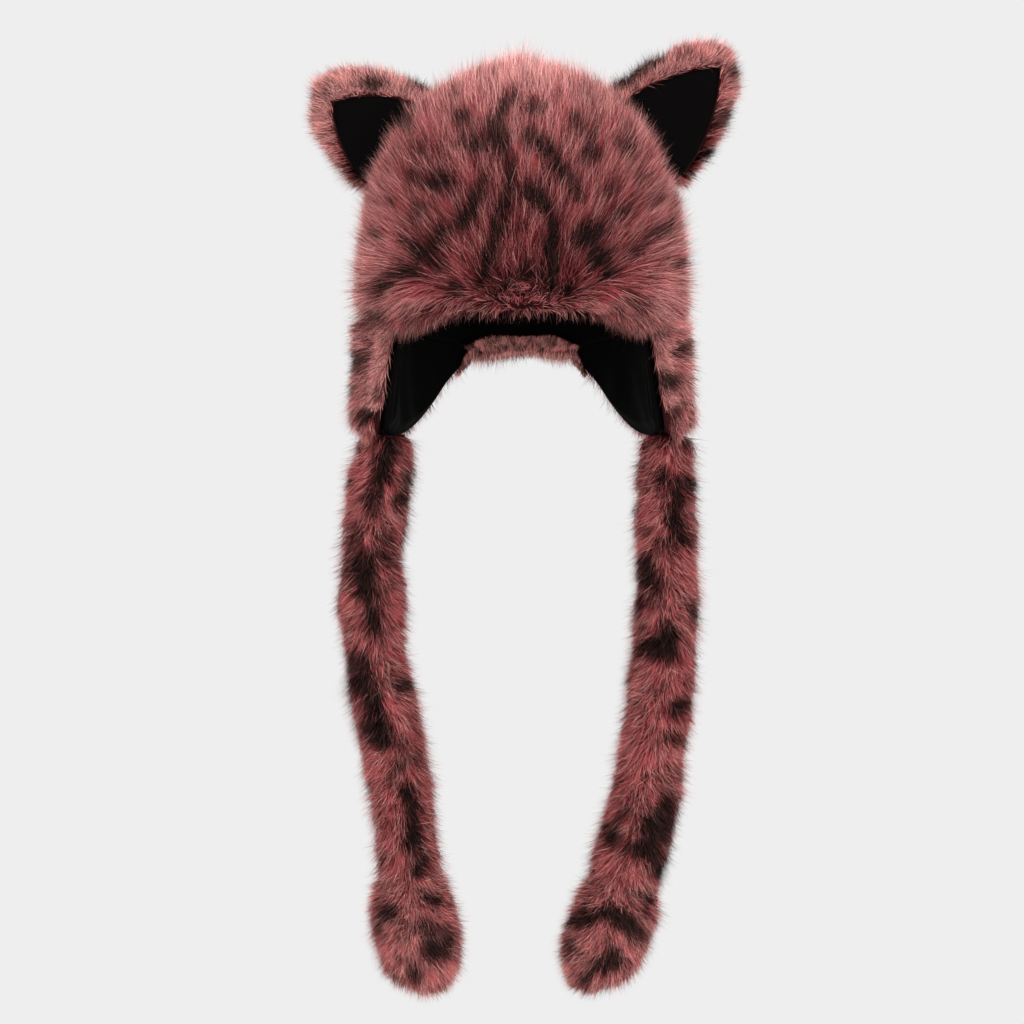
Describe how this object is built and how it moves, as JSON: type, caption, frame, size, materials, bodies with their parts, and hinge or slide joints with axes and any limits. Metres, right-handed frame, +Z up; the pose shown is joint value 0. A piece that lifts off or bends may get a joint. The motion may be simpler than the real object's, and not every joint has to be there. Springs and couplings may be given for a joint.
{
  "type": "earflap hat",
  "caption": "Deep plush fur earflap hat with black lining, two fur ears, padded ear flaps and long stuffed fur ties ending in paws",
  "frame": {"origin": "centre of the head opening at the height of the front rim, where a head carries the hat", "axes": "+Z up through the crown, the face looks along -Y, +X towards the hat's right side in the picture"},
  "size_m": [0.2952, 0.272, 0.6609],
  "materials": {
    "rose_fur": "deep faux fur, dusty rose with dark brown spots and stripes, paler hair tips",
    "tie_fur": "deep faux fur, dusty rose with dark brown spots, brushed down",
    "black_cloth": "matte black knitted cloth with a faint sheen"
  },
  "bodies": {
    "root": {"lining": "black_cloth", "crown_left": "rose_fur", "crown_right": "rose_fur", "flap_lining_left": "black_cloth", "flap_lining_right": "black_cloth", "flap_left": "rose_fur", "flap_right": "rose_fur", "ear_left": "rose_fur", "ear_right": "rose_fur", "ear_panel_left": "black_cloth", "ear_panel_right": "black_cloth", "tie_left": "tie_fur", "tie_right": "tie_fur", "paw_left": "tie_fur", "paw_right": "tie_fur"}
  },
  "joints": []
}
